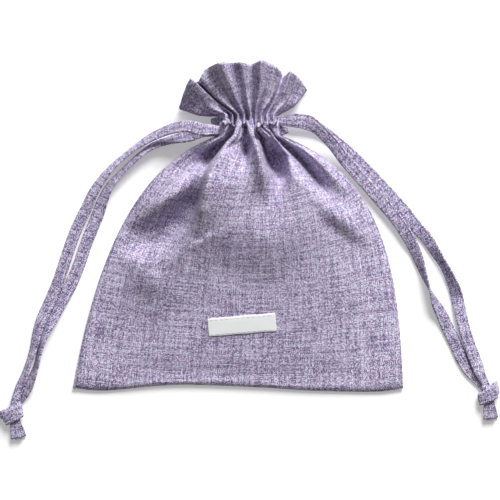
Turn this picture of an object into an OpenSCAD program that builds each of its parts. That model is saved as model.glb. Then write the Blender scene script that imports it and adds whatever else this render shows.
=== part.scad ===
// Drawstring gift pouch, lying on its back with the neck drawn closed.
// X runs across the pouch, Y from the bottom edge to the frill, Z up from the table.
// The origin is under the middle of the pouch, on the table.

/* [Pouch] */
// Width across the bottom corners
pouch_w = 200; // [160:1:260]
// Length from the bottom edge to the top of the frill, drawn closed
pouch_l = 200; // [170:1:260]
// Height of the crown above the table
puff_h = 30; // [24:1:45]
// Thickness of the cloth
cloth_t = 1; // [0.8:0.1:1.4]
// How far the bottom edge draws in between its corners
bottom_dip = 3; // [0:0.5:6]
// Depth of the folds that run down from the neck
fold_d = 4; // [0:0.5:5]
// Width of the sewn seams inside the pouch
seam_w = 5; // [3:0.5:8]
// Distance of the sewn seams from the edges
seam_in = 5; // [4:0.5:8]

/* [Neck] */
// Width of the gathered neck
neck_w = 38; // [30:1:60]
// Sideways shift of the neck from the middle of the pouch
neck_shift = 7; // [-12:1:12]
// Pleats across one side of the neck
pleats = 8; // [5:1:10]
// Depth of the pleats at the neck
pleat_d = 1.2; // [0.4:0.1:1.6]
// Height of the passage that is left through the neck
neck_gap = 6.5; // [5:0.5:12]
// Thickness of cloth outside and inside the drawstring tunnel
casing_wall = 2.8; // [2:0.1:4]
// Thickness of cloth beside the drawstring tunnel
casing_rim = 1; // [0.8:0.1:2]

/* [Frill] */
// Length of the frill above the casing
frill_l = 33; // [20:1:45]
// How far the frill's ends fan out, in degrees
frill_flare = 55; // [20:1:60]
// Depth of the waves at the top of the frill
frill_wave = 5.6; // [2:0.2:6]

/* [Drawstrings] */
// Width of the flat drawstring
cord_w = 7.5; // [5:0.5:9]
// Thickness of the flat drawstring
cord_t = 1.4; // [1:0.1:2]
// Width of the drawstring where the casing gathers it
gathered_w = 4.6; // [3:0.2:6]
// Thickness of the drawstring where the casing gathers it
gathered_t = 1.8; // [1.4:0.1:2.4]
// Space between the two drawstrings in the casing
lane_gap = 1.2; // [0.8:0.1:2]
// How much further each drawstring pulls out of the drawn neck
pull = 4; // [2:0.5:8]
// Width of the knots
knot_d = 12.6; // [11:0.2:16]
// Thickness of the drawn-up strand in the knots
strand_d = 2.7; // [2.2:0.1:3]
// Length of the cut ends below the knots
tail_l = 10; // [6:0.5:16]

/* [Label] */
// Width of the label
label_w = 41; // [25:1:60]
// Height of the label
label_h = 11; // [8:0.5:18]
// Thickness of the label
label_t = 0.5; // [0.4:0.1:0.8]
// Distance from the bottom edge to the middle of the label, along the cloth
label_up = 46; // [30:1:70]
// Distance from the middle of the pouch to the middle of the label
label_right = 2.5; // [-20:0.5:20]
// How far the label leans, in degrees
label_tilt = 5; // [-10:1:10]
// Length of one stitch on the label
stitch_l = 2; // [1.5:0.1:3]
// Thickness of the sewing thread
thread_d = 0.4; // [0.3:0.05:0.6]

/* [Fit] */
// Space between pieces that lie on each other
clear = 0.3; // [0.2:0.05:0.5]
// Space round the swinging start of each cord end
swing_gap = 0.8; // [0.7:0.05:0.95]

/* [Hidden] */

cloth = [0.62, 0.57, 0.70];
cloth_dark = [0.50, 0.44, 0.60];
cord_colour = [0.57, 0.51, 0.67];
label_colour = [0.94, 0.95, 0.97];
thread_colour = [0.98, 0.98, 0.98];

// Cells of the cloth sheets across and along
front_cells = [48, 24];
back_cells = [24, 16];
frill_cells = [64, 5];
label_cells = [12, 4];
seam_cells = 20;

// Places along the pouch
bottom_y = -pouch_l / 2;
top_y = pouch_l / 2;
tunnel_w = 2 * gathered_w + lane_gap + 2 * clear;
casing_w = tunnel_w + 2 * casing_rim;
casing_top = top_y - frill_l;
casing_low = casing_top - casing_w;
casing_mid = casing_top - casing_w / 2;
panel_top = casing_low - clear;
casing_round = 2.5;

// Places across the neck
neck_left = neck_shift - neck_w / 2;
neck_right = neck_shift + neck_w / 2;

// Heights of the neck's layers above the table
casing_t = gathered_t + 2 * clear + 2 * casing_wall;
back_mid = clear + casing_t / 2 + pleat_d / 2;
front_mid = back_mid + casing_t + pleat_d + neck_gap;
seam_top = (front_mid + back_mid) / 2;

// Where the crown peaks, and where the folds are deepest, from 0 at the bottom edge to 1 at the casing
crown_at = 0.58;
folds_at = 0.75;
folds_from = 0.35;
// Where the sides leave the table on their way to the neck
lift_from = 0.5;
back_lift_from = 0.8;
// How round the front is along its middle, and across it at the bottom and at the neck
crown_round = 0.8;
across_low = 2.4;
across_neck = 6;

// Seams: the stretch of each side, and the share of the bottom, that they run along
seam_from = 0.1;
seam_to = 0.78;
bottom_seam_reach = 0.75;

// Handles of the curved sides, from each bottom corner and from each end of the neck
left_corner = [12, 68];
left_shoulder = [-55, -18];
right_corner = [-4, 64];
right_shoulder = [67, -24];
left_side = [[-pouch_w / 2, bottom_y], [-pouch_w / 2, bottom_y] + left_corner,
             [neck_left, panel_top] + left_shoulder, [neck_left, panel_top]];
right_side = [[pouch_w / 2, bottom_y], [pouch_w / 2, bottom_y] + right_corner,
              [neck_right, panel_top] + right_shoulder, [neck_right, panel_top]];

// Label stitches: their pitch, the share of the width they run along and of the height they lie apart
stitch_pitch = 1.6 * stitch_l;
stitch_span = 0.94;
stitch_row = 0.78;

// Drawstrings: lanes in the casing, and the straight stub of each that stands out of it
left_lane = casing_mid - (gathered_w + lane_gap) / 2;
right_lane = casing_mid + (gathered_w + lane_gap) / 2;
bend_r = 2.4;
loop_reach = pull + clear + bend_r;
stub_l = loop_reach + 2;
left_exit = [neck_left - stub_l - swing_gap, left_lane];
right_exit = [neck_right + stub_l + swing_gap, right_lane];

// Routes of the cord ends over the table, as [x, y, drop, roll] from the exit.
// Drop is the share of the exit's height that is left, and roll turns the flat cord about its length.
left_front_route = [
    [0, 0, 1, 0], [-8, 2, 0.9, 15], [-18, 1, 0.55, 30], [-29, -3, 0.2, 45], [-38, -8, 0, 60],
    [-46, -14, 0, 65], [-54, -21, 0, 60], [-60, -28, 0, 50], [-66, -37, 0, 35], [-70, -46, 0, 20],
    [-75, -56, 0, 14], [-79, -66, 0, 14], [-83, -78, 0, 14], [-87, -90, 0, 14], [-92, -102, 0, 16],
    [-97, -113, 0, 25], [-100, -122, 0, 40], [-102, -131, 0, 50], [-105, -140, 0, 60],
    [-108, -149, 0, 50], [-111, -157, 0.06, 25], [-113.5, -164, 0.16, 5]];
left_back_route = [
    [0, 0, 1, 0], [-8, -3, 0.7, 20], [-18, -5, 0.3, 45], [-28, -8, 0, 55], [-36, -13, 0, 65],
    [-43, -19, 0, 65], [-50, -26, 0, 60], [-56, -33, 0, 50], [-60, -41, 0, 30], [-63, -49, 0, 8],
    [-67, -59, 0, 0], [-71, -69, 0, 0], [-75, -81, 0, 0], [-80, -93, 0, 0], [-86, -104, 0, 8],
    [-91, -114, 0, 25], [-95, -122, 0, 45], [-98, -131, 0, 60], [-100, -140, 0, 65],
    [-103, -149, 0, 50], [-107, -157, 0, 20], [-112, -164.5, 0, 0]];
right_front_route = [
    [0, 0, 1, 0], [7, -1, 0.9, 0], [14, -6, 0.6, 5], [22, -14, 0.3, 8], [29, -23, 0.13, 8],
    [36, -31, 0.12, 6], [43, -39, 0.12, 6], [50, -47, 0.12, 6], [57, -55, 0.12, 6], [63, -63, 0.11, 8],
    [68, -71, 0.08, 14], [72, -79, 0, 30], [75, -87, 0, 50], [78, -96, 0, 75], [81, -103, 0, 100],
    [84, -110, 0, 135], [88, -117, 0, 165], [92, -126, 0, 180], [96, -134, 0, 180], [100, -143, 0, 180],
    [105, -151, 0, 180], [111.5, -159, 0, 180]];
right_back_route = [
    [0, 0, 1, 0], [8, -2, 0.7, 0], [16, -6, 0.3, 0], [25, -13, 0, 0], [33, -20, 0, 0],
    [41, -28, 0, 0], [49, -36, 0, 0], [57, -45, 0, 0], [65, -54, 0, 0], [72, -63, 0, 5],
    [79, -71, 0, 20], [84, -79, 0, 40], [89, -87, 0, 50], [93, -95, 0, 40], [96, -102, 0, 20],
    [98, -110, 0, -6], [100, -119, 0, -14], [102, -127, 0, -14], [105, -136, 0.05, -14],
    [108, -144, 0.2, -12], [111, -152, 0.4, -8], [114, -158, 0.5, 0]];
left_knot_at = [-114.5, -170.5];
right_knot_at = [115.5, -164.5];
// Knots: the ring that the strand winds about, how far out and how high it winds, and the steps round it
strand_gap = 0.4;
knot_wind = (strand_d + strand_gap) / 2;
knot_rise = 1.1 * knot_wind;
knot_ring = knot_d / 2 - strand_d / 2 - knot_wind;
knot_steps = 48;
// Compass turn of each knot and its cut ends, in degrees from straight down the table
left_knot_turn = 12;
right_knot_turn = 8;
tail_spread = 8;

function mix(a, b, t) = a + (b - a) * t;
function smooth(a, b, x) = let (t = min(1, max(0, (x - a) / (b - a)))) t * t * (3 - 2 * t);
function unit(v) = v / norm(v);
function bezier(p, t) = pow(1 - t, 3) * p[0] + 3 * t * pow(1 - t, 2) * p[1]
                        + 3 * t * t * (1 - t) * p[2] + t * t * t * p[3];

// Cloth of the panels: u runs from -1 to 1 across, v from 0 at the bottom edge to 1 at the casing
function plan(u, v) = mix(bezier(left_side, v), bezier(right_side, v), (u + 1) / 2)
                      + [0, bottom_dip * (1 - u * u) * pow(1 - v, 4)];
function seam_z(v) = mix(cloth_t, seam_top, smooth(lift_from, 1, v));
function ridge_z(v) = v < crown_at
    ? mix(cloth_t + clear, puff_h - cloth_t, pow(sin(90 * v / crown_at), crown_round))
    : mix(puff_h - cloth_t, front_mid - cloth_t / 2, smooth(crown_at, 1, v));
function arch(u, v) = sqrt(max(0, 1 - pow(abs(u), mix(across_low, across_neck, smooth(lift_from, 1, v)))));
function fold_depth(v) = mix(fold_d * smooth(folds_from, folds_at, v), pleat_d / 2, smooth(folds_at, 1, v));
function fold_z(u, v) = -fold_depth(v) * (1 - cos(180 * pleats * (u + 1))) / 2 * (1 - pow(u, 8));
function front_z(u, v) = let (low = seam_z(v) + clear)
    low + (ridge_z(v) - low) * arch(u, v) + fold_z(u, v) * smooth(0, 0.3, arch(u, v));
function front_inside(u, v) = let (p = plan(u, v)) [p.x, p.y, front_z(u, v)];
function front_normal(u, v) = let (
    e = 0.01,
    across = front_inside(min(1, u + e), v) - front_inside(max(-1, u - e), v),
    along = front_inside(u, min(1, v + e)) - front_inside(u, max(0, v - e)))
    unit(cross(across, along));
// The sheet is as thick as the cloth, straight up in the middle and square to the cloth at the edges,
// and it ends square to the casing
function front_out(u, v) = let (
    n = front_normal(u, v),
    edge = max(pow(u, 8), pow(1 - v, 12)))
    unit([n.x * edge, n.y * edge * (1 - smooth(0.8, 1, v)), n.z]);
function front_at(u, v, off) = front_inside(u, v) + off * front_out(u, v);
function back_z(u, v) = mix(mix(cloth_t, back_mid + cloth_t / 2, smooth(back_lift_from, 1, v)),
                            seam_z(v), pow(abs(u), across_neck));
function back_at(u, v, off) = let (p = plan(u, v)) [p.x, p.y, back_z(u, v) + off];

// Frill: u runs across as above, w from 0 at the casing to 1 at the top edge
function frill_at(u, w, mid, off) = let (turn = frill_flare * u, out = clear + (frill_l - clear) * w)
    [neck_shift + neck_w / 2 * u + out * sin(turn), casing_top + clear + (out - clear) * cos(turn),
     mid + mix(pleat_d, frill_wave, w) / 2 * cos(180 * pleats * (u + 1)) + off];

function grid(cells, f) = [for (j = [0 : cells[1]]) [for (i = [0 : cells[0]])
    f(2 * i / cells[0] - 1, j / cells[1])]];

// A closed sheet between two grids of points, the upper and the lower face
module sheet(upper, lower) {
    rows = len(upper);
    cols = len(upper[0]);
    n = rows * cols;
    function at(j, i) = j * cols + i;
    points = concat([for (row = upper) each row], [for (row = lower) each row]);
    faces = concat(
        [for (j = [0 : rows - 2], i = [0 : cols - 2]) each
            [[at(j, i), at(j + 1, i), at(j, i + 1)], [at(j, i + 1), at(j + 1, i), at(j + 1, i + 1)]]],
        [for (j = [0 : rows - 2], i = [0 : cols - 2]) each
            [[n + at(j, i), n + at(j, i + 1), n + at(j + 1, i)],
             [n + at(j, i + 1), n + at(j + 1, i + 1), n + at(j + 1, i)]]],
        [for (i = [0 : cols - 2], j = [0, rows - 1])
            let (a = j == 0 ? at(j, i) : at(j, i + 1), b = j == 0 ? at(j, i + 1) : at(j, i)) each
            [[a, b, n + b], [a, n + b, n + a]]],
        [for (j = [0 : rows - 2], i = [0, cols - 1])
            let (a = i == 0 ? at(j + 1, i) : at(j, i), b = i == 0 ? at(j, i) : at(j + 1, i)) each
            [[a, b, n + b], [a, n + b, n + a]]]);
    polyhedron(points, faces, convexity = 8);
}

// A solid swept through rings of points that all have the same number of corners
module swept(rings) {
    n = len(rings[0]);
    last = len(rings) - 1;
    faces = concat(
        [for (j = [0 : last - 1], i = [0 : n - 1])
            let (a = j * n + i, b = j * n + (i + 1) % n) each [[a, b, b + n], [a, b + n, a + n]]],
        [for (i = [1 : n - 2]) [0, i + 1, i]],
        [for (i = [1 : n - 2]) [last * n, last * n + i, last * n + i + 1]]);
    polyhedron([for (ring = rings) each ring], faces, convexity = 8);
}

// The same with the last ring joined to the first
module swept_loop(rings) {
    n = len(rings[0]);
    count = len(rings);
    faces = [for (j = [0 : count - 1], i = [0 : n - 1])
        let (a = j * n, b = (j + 1) % count * n, k = (i + 1) % n) each
        [[a + i, a + k, b + k], [a + i, b + k, b + i]]];
    polyhedron([for (ring = rings) each ring], faces, convexity = 8);
}

// Panels

module back_panel() {
    color(cloth_dark) sheet(grid(back_cells, function(u, v) back_at(u, v, 0)),
                            grid(back_cells, function(u, v) back_at(u, v, -cloth_t)));
}

module front_panel() {
    color(cloth) sheet(grid(front_cells, function(u, v) front_at(u, v, cloth_t)),
                       grid(front_cells, function(u, v) front_at(u, v, 0)));
}

// Sewn seams, lying on the back panel just inside the edges

module seam_strip(face) {
    color(cloth_dark) sheet(grid([seam_cells, 1], function(s, t) face(s, t, clear + cloth_t)),
                            grid([seam_cells, 1], function(s, t) face(s, t, clear)));
}

// One side's seam, where side is -1 on the left and 1 on the right
module side_seam(side) {
    seam_strip(function(s, t, off) let (
        v = mix(seam_from, seam_to, (1 - side * s) / 2),
        half_w = norm(plan(1, v) - plan(-1, v)) / 2,
        u = side * (1 - (seam_in + seam_w * (1 - t)) / half_w))
        back_at(u, v, off));
}

module left_side_seam() {
    side_seam(-1);
}

module right_side_seam() {
    side_seam(1);
}

module bottom_seam() {
    cloth_l = norm(plan(0, seam_from) - plan(0, 0)) / seam_from;
    seam_strip(function(s, t, off)
        back_at(bottom_seam_reach * s, (seam_in + seam_w * t) / cloth_l, off));
}

// Casing: a pleated band with a straight tunnel for the drawstrings

module pleated_outline() {
    steps = 8 * pleats;
    function bead(i) = casing_t / 2 + pleat_d / 2 * cos(360 * pleats * i / steps);
    polygon(concat([for (i = [0 : steps]) [mix(neck_left, neck_right, i / steps), bead(i)]],
                   [for (i = [steps : -1 : 0]) [mix(neck_left, neck_right, i / steps), -bead(i)]]));
}

module casing(mid) {
    tunnel_h = gathered_t + 2 * clear;
    color(cloth) translate([0, 0, mid]) difference() {
        intersection() {
            translate([0, casing_top, 0]) rotate([90, 0, 0])
                linear_extrude(casing_w) pleated_outline();
            translate([neck_left - 1, casing_mid, 0]) rotate([90, 0, 90])
                linear_extrude(neck_w + 2) rounded_box(casing_w, casing_t + pleat_d, casing_round);
        }
        translate([neck_left - 1, casing_mid - tunnel_w / 2, -tunnel_h / 2])
            cube([neck_w + 2, tunnel_w, tunnel_h]);
    }
}

module rounded_box(w, h, r) {
    square([w - 2 * r, h], center = true);
    square([w, h - 2 * r], center = true);
    for (x = [-1, 1], y = [-1, 1])
        translate([x * (w / 2 - r), y * (h / 2 - r)]) circle(r, $fn = 32);
}

module front_casing() {
    casing(front_mid);
}

module back_casing() {
    casing(back_mid);
}

// Frill

module frill(mid) {
    color(cloth) sheet(grid(frill_cells, function(u, w) frill_at(u, w, mid, cloth_t / 2)),
                       grid(frill_cells, function(u, w) frill_at(u, w, mid, -cloth_t / 2)));
}

module front_frill() {
    frill(front_mid);
}

module back_frill() {
    frill(back_mid);
}

// Label, lying on the front panel and following its curve

// Share of the way up the panel that lies a given length of cloth above the bottom edge
function up_cloth(length, steps = 50) = let (
    p = [for (i = [0 : steps]) front_inside(0, i / steps)],
    run = [for (i = 0, l = 0; i <= steps; l = l + (i < steps ? norm(p[i + 1] - p[i]) : 0), i = i + 1) l])
    lookup(length, [for (i = [0 : steps]) [run[i], i / steps]]);
label_low = up_cloth(label_up - label_h / 2);
label_high = up_cloth(label_up + label_h / 2);
label_mid = up_cloth(label_up);
panel_w_there = norm(plan(1, label_mid) - plan(-1, label_mid));
label_lean = tan(label_tilt) * label_w / label_h * (label_high - label_low) / 2;

// A point on the label: s and t run from -1 to 1 across and up it
function on_label(s, t, off) = front_at((label_w * s + 2 * label_right) / panel_w_there,
    mix(label_low, label_high, (t + 1) / 2) + label_lean * s, cloth_t + off);

module label() {
    color(label_colour) sheet(grid(label_cells, function(s, t) on_label(s, 2 * t - 1, clear + label_t)),
                              grid(label_cells, function(s, t) on_label(s, 2 * t - 1, clear)));
}

// Two rows of running stitches, along the label's upper and lower edges
module label_stitching() {
    count = floor(label_w * stitch_span / stitch_pitch);
    off = clear + label_t + clear / 2 + thread_d / 2;
    color(thread_colour) for (row = [-1, 1], i = [0 : count - 1])
        let (mid = (i + 0.5 - count / 2) * stitch_pitch)
        swept([for (end = [-1, 1])
            let (p = on_label((mid + end * stitch_l / 2) * 2 / label_w, row * stitch_row, off))
            [for (k = [0 : 5]) p + thread_d / 2 * [0, cos(60 * k), sin(60 * k)]]]);
}

// Drawstrings

// The gathered stretch inside the casing: along the front, round the far side slit and back again.
// Side is -1 for the drawstring whose ends leave on the left, and 1 for the right.
module drawstring_run(side, lane) {
    far = neck_w / 2 + loop_reach;
    near = neck_w / 2 + stub_l;
    high = front_mid - back_mid + gathered_t;
    color(cord_colour) translate([neck_shift, lane + gathered_w / 2, seam_top]) rotate([90, 0, 0])
        linear_extrude(gathered_w) mirror([side > 0 ? 1 : 0, side > 0 ? 0 : 1]) difference() {
            translate([-near, 0]) round_ended(near + far, high, bend_r);
            translate([-near - 1, 0])
                round_ended(near + 1 + far - gathered_t, high - 2 * gathered_t, bend_r - gathered_t);
        }
}

// A flat bar along X whose far end has round corners
module round_ended(length, high, r) {
    translate([0, -high / 2]) square([length - r, high]);
    translate([0, -high / 2 + r]) square([length, high - 2 * r]);
    for (z = [-1, 1]) translate([length - r, z * (high / 2 - r)]) circle(r, $fn = 32);
}

module left_drawstring_run() {
    drawstring_run(-1, left_lane);
}

module right_drawstring_run() {
    drawstring_run(1, right_lane);
}

// Half the height of a flat cord that is rolled about its length
function half_height(roll) = cord_w / 2 * abs(sin(roll)) + cord_t / 2 * abs(cos(roll));
function route_points(route, exit, exit_z) = [for (p = route)
    [exit.x + p[0], exit.y + p[1],
     clear + half_height(p[3]) + p[2] * (exit_z - clear - cord_t / 2)]];
// The section is narrow where the casing lets the cord go, and flat with rounded edges after that
function cord_section(i) = let (
    w = (i == 0 ? gathered_w / 2 : i == 1 ? gathered_w : cord_w) / 2,
    t = cord_t / 2)
    [[w, t / 2], [w - t / 2, t], [-w + t / 2, t], [-w, t / 2],
     [-w, -t / 2], [-w + t / 2, -t], [w - t / 2, -t], [w, -t / 2]];
function cord_ring(points, route, i) = let (
    last = len(points) - 1,
    ahead = unit(points[min(last, i + 1)] - points[max(0, i - 1)]),
    side = unit(cross([0, 0, 1], ahead)),
    up = cross(ahead, side),
    c = cos(route[i][3]),
    s = sin(route[i][3]))
    [for (q = cord_section(i)) points[i] + q.x * (c * side + s * up) + q.y * (c * up - s * side)];

module cord(route, exit, exit_z) {
    points = route_points(route, exit, exit_z);
    color(cord_colour) swept([for (i = [0 : len(route) - 1]) cord_ring(points, route, i)]);
}

module left_front_cord() {
    cord(left_front_route, left_exit, front_mid);
}

module left_back_cord() {
    cord(left_back_route, left_exit, back_mid);
}

module right_front_cord() {
    cord(right_front_route, right_exit, front_mid);
}

module right_back_cord() {
    cord(right_back_route, right_exit, back_mid);
}

// Overhand knot: the strand goes round the knot twice while it winds three times about itself
function knot_at(a) = let (out = knot_ring + knot_wind * cos(3 * a))
    [out * cos(2 * a), out * sin(2 * a), knot_rise * sin(3 * a)];
function knot_section(a) = let (
    ahead = unit(knot_at(a + 1) - knot_at(a - 1)),
    outward = knot_at(a) - knot_ring * [cos(2 * a), sin(2 * a), 0],
    side = unit(cross(ahead, outward)),
    up = cross(side, ahead))
    [for (k = [0 : 7]) knot_at(a) + strand_d / 2 * (cos(45 * k) * side + sin(45 * k) * up)];

module knot(exit, at, turn) {
    color(cord_colour) translate([exit.x + at.x, exit.y + at.y, clear + knot_rise + strand_d / 2])
        rotate([0, 0, 90 + turn])
        swept_loop([for (i = [0 : knot_steps - 1]) knot_section(360 * i / knot_steps)]);
}

module left_knot() {
    knot(left_exit, left_knot_at, left_knot_turn);
}

module right_knot() {
    knot(right_exit, right_knot_at, right_knot_turn);
}

// The two cut ends below a knot, spread a little and one lying on the other
module cord_tails(exit, at, turn) {
    start = -knot_ring - strand_d / 2 - 2 * clear;
    outline = [[-strand_d / 2, start], [strand_d / 2, start],
               [cord_w / 2, start - cord_w / 2], [cord_w / 2, start - tail_l],
               [-cord_w / 2, start - tail_l], [-cord_w / 2, start - cord_w / 2]];
    color(cord_colour) translate([exit.x + at.x, exit.y + at.y, 0]) rotate([0, 0, turn])
        for (lap = [0, 1])
            translate([0, 0, clear + lap * (cord_t + clear)]) rotate([0, 0, tail_spread * (2 * lap - 1)])
            linear_extrude(cord_t) polygon(outline);
}

module left_cord_tails() {
    cord_tails(left_exit, left_knot_at, left_knot_turn);
}

module right_cord_tails() {
    cord_tails(right_exit, right_knot_at, right_knot_turn);
}

back_panel();
front_panel();
left_side_seam();
right_side_seam();
bottom_seam();
front_casing();
back_casing();
front_frill();
back_frill();
label();
label_stitching();
left_drawstring_run();
left_front_cord();
left_back_cord();
left_knot();
left_cord_tails();
right_drawstring_run();
right_front_cord();
right_back_cord();
right_knot();
right_cord_tails();
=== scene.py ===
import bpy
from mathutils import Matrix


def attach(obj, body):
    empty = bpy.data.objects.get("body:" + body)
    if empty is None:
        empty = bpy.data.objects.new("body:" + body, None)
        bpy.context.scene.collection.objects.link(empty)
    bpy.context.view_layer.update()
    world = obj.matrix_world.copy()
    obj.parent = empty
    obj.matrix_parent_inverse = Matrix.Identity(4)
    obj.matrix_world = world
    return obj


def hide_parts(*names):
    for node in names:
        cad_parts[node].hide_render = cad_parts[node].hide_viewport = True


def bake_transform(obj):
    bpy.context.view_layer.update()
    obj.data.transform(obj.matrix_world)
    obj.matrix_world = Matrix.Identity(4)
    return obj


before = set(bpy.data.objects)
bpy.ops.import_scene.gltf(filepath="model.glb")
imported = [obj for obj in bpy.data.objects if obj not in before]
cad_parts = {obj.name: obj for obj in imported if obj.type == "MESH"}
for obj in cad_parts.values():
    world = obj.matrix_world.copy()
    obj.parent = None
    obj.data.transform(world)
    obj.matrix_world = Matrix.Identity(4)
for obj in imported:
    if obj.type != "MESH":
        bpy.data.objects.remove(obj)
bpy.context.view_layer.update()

import math

import bpy
import numpy as np
from mathutils.bvhtree import BVHTree

MM = 0.001
UP = (0.0, 0.0, 1.0)
WHITE = (1.0, 1.0, 1.0, 1.0)

# The photograph: seen from straight above, PIXEL metres to each of its IMAGE pixels
IMAGE = 500
PIXEL = 0.6024 * MM
VIEW_CENTRE = (7.23 * MM, -14.2 * MM)
CAMERA_HEIGHT = 1.2
FOCUS_HEIGHT = 8 * MM

# Neck and casing, as in the CAD model
NECK_X = 7 * MM
NECK_W = 38 * MM
NECK_LEFT = NECK_X - NECK_W / 2
NECK_RIGHT = NECK_X + NECK_W / 2
NECK_Y = 54 * MM
CASING_H = 12.5 * MM
FRONT_Z = 20.6 * MM
BACK_Z = 4.9 * MM
LEFT_LANE = 57.6 * MM
RIGHT_LANE = 63.4 * MM

# Drawstrings: flat tapes of the pouch's own cloth
LEFT_EXIT = (-21.5 * MM, LEFT_LANE)
RIGHT_EXIT = (35.5 * MM, RIGHT_LANE)
CORD_W = 7.5 * MM
CORD_T = 1.4 * MM
GATHERED_W = 4.6 * MM
CLEAR = 0.3 * MM
CORD_STEP = 1.2 * MM
# A free tape's form, in millimetres: the length over which it widens up to its exit, how far above
# its knot it ends, and the distances from the knot between which it narrows to KNOT_PINCH
WIDEN_OVER = 12.0
KNOT_ENTRY = 1.5
PINCH_OVER = (5.0, 20.0)
KNOT_PINCH = 0.62
GATHERED_SWELL = 0.5
ROUTE_STEPS = 24

# Each route's points as in the CAD model: millimetres from the exit, share of the exit's
# height still above the table, and turn of the tape about its length in degrees
LEFT_FRONT_ROUTE = (
    (0, 0, 1, 0), (-8, 2, 0.9, 15), (-18, 1, 0.55, 30), (-29, -3, 0.2, 45),
    (-38, -8, 0, 60), (-46, -14, 0, 65), (-54, -21, 0, 60), (-60, -28, 0, 50),
    (-66, -37, 0, 35), (-70, -46, 0, 20), (-75, -56, 0, 14), (-79, -66, 0, 14),
    (-83, -78, 0, 14), (-87, -90, 0, 14), (-92, -102, 0, 16), (-97, -113, 0, 25),
    (-100, -122, 0, 40), (-102, -131, 0, 50), (-105, -140, 0, 60), (-108, -149, 0, 50),
    (-111, -157, 0.06, 25), (-113.5, -164, 0.16, 5))
LEFT_BACK_ROUTE = (
    (0, 0, 1, 0), (-8, -3, 0.7, 20), (-18, -5, 0.3, 45), (-28, -8, 0, 55),
    (-36, -13, 0, 65), (-43, -19, 0, 65), (-50, -26, 0, 60), (-56, -33, 0, 50),
    (-60, -41, 0, 30), (-63, -49, 0, 8), (-67, -59, 0, 0), (-71, -69, 0, 0),
    (-75, -81, 0, 0), (-80, -93, 0, 0), (-86, -104, 0, 8), (-91, -114, 0, 25),
    (-95, -122, 0, 45), (-98, -131, 0, 60), (-100, -140, 0, 65), (-103, -149, 0, 50),
    (-107, -157, 0, 20), (-112, -164.5, 0, 0))
RIGHT_FRONT_ROUTE = (
    (0, 0, 1, 0), (7, -1, 0.9, 0), (14, -6, 0.6, 5), (22, -14, 0.3, 8),
    (29, -23, 0.13, 8), (36, -31, 0.12, 6), (43, -39, 0.12, 6), (50, -47, 0.12, 6),
    (57, -55, 0.12, 6), (63, -63, 0.11, 8), (68, -71, 0.08, 14), (72, -79, 0, 30),
    (75, -87, 0, 50), (78, -96, 0, 75), (81, -103, 0, 100), (84, -110, 0, 135),
    (88, -117, 0, 165), (92, -126, 0, 180), (96, -134, 0, 180), (100, -143, 0, 180),
    (105, -151, 0, 180), (111.5, -159, 0, 180))
RIGHT_BACK_ROUTE = (
    (0, 0, 1, 0), (8, -2, 0.7, 0), (16, -6, 0.3, 0), (25, -13, 0, 0),
    (33, -20, 0, 0), (41, -28, 0, 0), (49, -36, 0, 0), (57, -45, 0, 0),
    (65, -54, 0, 0), (72, -63, 0, 5), (79, -71, 0, 20), (84, -79, 0, 40),
    (89, -87, 0, 50), (93, -95, 0, 40), (96, -102, 0, 20), (98, -110, 0, -6),
    (100, -119, 0, -14), (102, -127, 0, -14), (105, -136, 0.05, -14), (108, -144, 0.2, -12),
    (111, -152, 0.4, -8), (114, -158, 0.5, 0))

# Knots: millimetres from the exit, and how far each is turned on the table
LEFT_KNOT = (-114.5, -170.5)
LEFT_KNOT_TURN = 12.0
RIGHT_KNOT = (115.5, -164.5)
RIGHT_KNOT_TURN = 8.0
LEFT_LOBE = -1.0
RIGHT_LOBE = 0.65
KNOT_Z = 3.355 * MM
KNOT_T = 1.5 * MM
# The bands of tape round a knot: half width, shift to the lobe's side, place along the knot, slant,
# slant by the lobe's side, half height and width, in millimetres and degrees
KNOT_BANDS = ((5.3, 0.0, -1.2, 16.0, 0.0, 2.1, 7.4),
              (5.8, 0.3, 1.2, 30.0, 0.0, 2.35, 4.2),
              (4.4, 3.2, 2.2, 0.0, -14.0, 1.8, 5.0))
BAND_STEPS = 72
# The cut ends: each one's turn from straight ahead, and its height at the end
TAILS = ((-3.0, 2.6 * MM), (3.0, 1.0 * MM))
TAIL_L = 10 * MM
TAIL_START = 5.35 * MM
TAIL_ROOT = 1.5 * MM
TAIL_NARROW = 0.8
TAIL_WIDEN = (0.3, 0.8)
TAIL_FALL = (0.1, 0.8)
TAIL_STEPS = 16
# Loose yarns at each cut end: how many, over which share of the width, and their random ranges
FRAY_COUNT = 13
FRAY_ACROSS = 0.46
FRAY_LEAN = 0.5
FRAY_REACH = (0.5 * MM, 1.5 * MM)
FRAY_LIFT = 0.3 * MM
FRAY_D = 0.22 * MM
FRAY_ROOT = -0.5
FRAY_STEPS = 6
FRAY_SIDES = 5
# Turn-rounds: (reach past the casing's end, fall from the top) in millimetres, up to the outermost
LOOP_LINE = ((-9.0, 2.5), (-6.0, 0.5), (-2.8, -0.6), (0.8, 1.6))
LOOP_REACH = 2.4 * MM
LOOP_TOP = 13.0 * MM
LOOP_W = 7.6 * MM
LOOP_T = 4.2 * MM
LOOP_PINCH = 0.55
LOOP_PINCH_OVER = 0.16
LOOP_STEPS = 20
LOOP_POINTS = 44

# Cloth: one panel's flat size, the side seams' length and the free cloth above the casing
PANEL_W = 202 * MM
SEAM_L = 183 * MM
FRILL_H = 34 * MM
CLOTH_T = 0.6 * MM
SEAM_LOW = 1.6 * MM
SEAM_HIGH = 12.0 * MM
SEAM_RISE = (0.45, 1.0)
BOTTOM_Y = -98 * MM

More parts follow.
